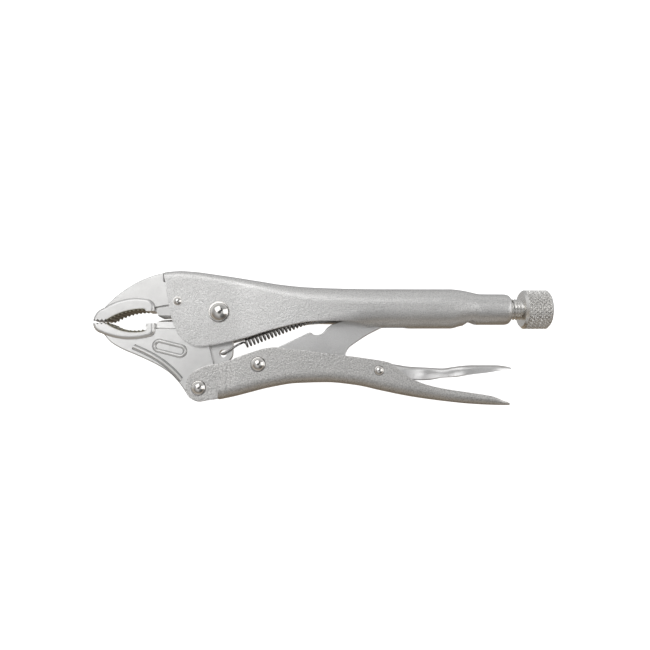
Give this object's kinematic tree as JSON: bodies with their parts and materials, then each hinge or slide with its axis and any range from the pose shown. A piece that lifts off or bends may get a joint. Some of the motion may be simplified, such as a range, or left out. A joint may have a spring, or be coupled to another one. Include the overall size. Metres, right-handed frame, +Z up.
{
  "type": "locking pliers",
  "caption": "Curved-jaw locking pliers with a wire cutter, toggle lever handle, release lever and knurled adjusting screw.",
  "frame": {"origin": "centre of the tool's footprint as it lies on its side, on the surface it lies on", "axes": "+X along the tool from the jaws to the screw knob, +Y from the lower handle to the upper handle, +Z up through the thickness, along the pivots"},
  "size_m": [0.2529, 0.0745, 0.0218],
  "materials": {
    "pearl_nickel": "fine-grained satin nickel plate on blasted sheet",
    "forged_nickel": "satin nickel plate on forged and ground steel",
    "rivet_bright": "bright polished nickel plate",
    "spring_wire": "plated spring wire",
    "screw_nickel": "nickel-plated turned and rolled steel"
  },
  "bodies": {
    "upper_handle": {"upper_handle": "pearl_nickel", "fixed_jaw": "forged_nickel", "main_pivot_rivet": "rivet_bright", "fixed_jaw_rivet": "rivet_bright", "spring_anchor": "pearl_nickel", "return_spring": "spring_wire"},
    "moving_jaw": {"moving_jaw": "forged_nickel"},
    "lower_handle": {"lower_handle": "pearl_nickel", "lever_pivot_rivet": "rivet_bright", "link_pivot_rivet": "rivet_bright", "release_lever_rivet": "rivet_bright"},
    "toggle_link": {"toggle_link": "pearl_nickel"},
    "release_lever": {"release_lever": "pearl_nickel"},
    "adjusting_screw": {"adjusting_screw": "screw_nickel"},
    "screw_knob": {"screw_knob": "screw_nickel"}
  },
  "joints": [
    {"name": "jaw_pivot", "type": "hinge", "parent": "upper_handle", "child": "moving_jaw", "pos_m": [-0.0571, 0.0141, 0.0109], "axis": [0, 0, 1], "range_deg": [0, 22], "deforming": ["return_spring"]},
    {"name": "lever_pivot", "type": "hinge", "parent": "moving_jaw", "child": "lower_handle", "pos_m": [-0.0675, -0.0275, 0.0109], "axis": [0, 0, 1], "range_deg": [-68.7, 0.5]},
    {"name": "link_pivot", "type": "hinge", "parent": "lower_handle", "child": "toggle_link", "pos_m": [-0.0352, -0.0147, 0.0109], "axis": [0, 0, 1], "range_deg": [-0.5, 72]},
    {"name": "release_pivot", "type": "hinge", "parent": "lower_handle", "child": "release_lever", "pos_m": [0.0304, -0.0181, 0.0109], "axis": [0, 0, 1], "range_deg": [-6, 0]},
    {"name": "screw_travel", "type": "slide", "parent": "upper_handle", "child": "adjusting_screw", "axis": [1, 0, 0], "range_m": [0, 0.017]},
    {"name": "knob_turn", "type": "hinge", "parent": "adjusting_screw", "child": "screw_knob", "pos_m": [0.1185, 0.0162, 0.0109], "axis": [-1, 0, 0], "range_deg": [-1, 3499.1]}
  ],
  "couplings": [
    {"joint": "lever_pivot", "follows": "jaw_pivot", "ratio": -3.1},
    {"joint": "link_pivot", "follows": "jaw_pivot", "ratio": 3.25},
    {"joint": "knob_turn", "follows": "screw_travel", "rad_per_m": 3590.4}
  ]
}
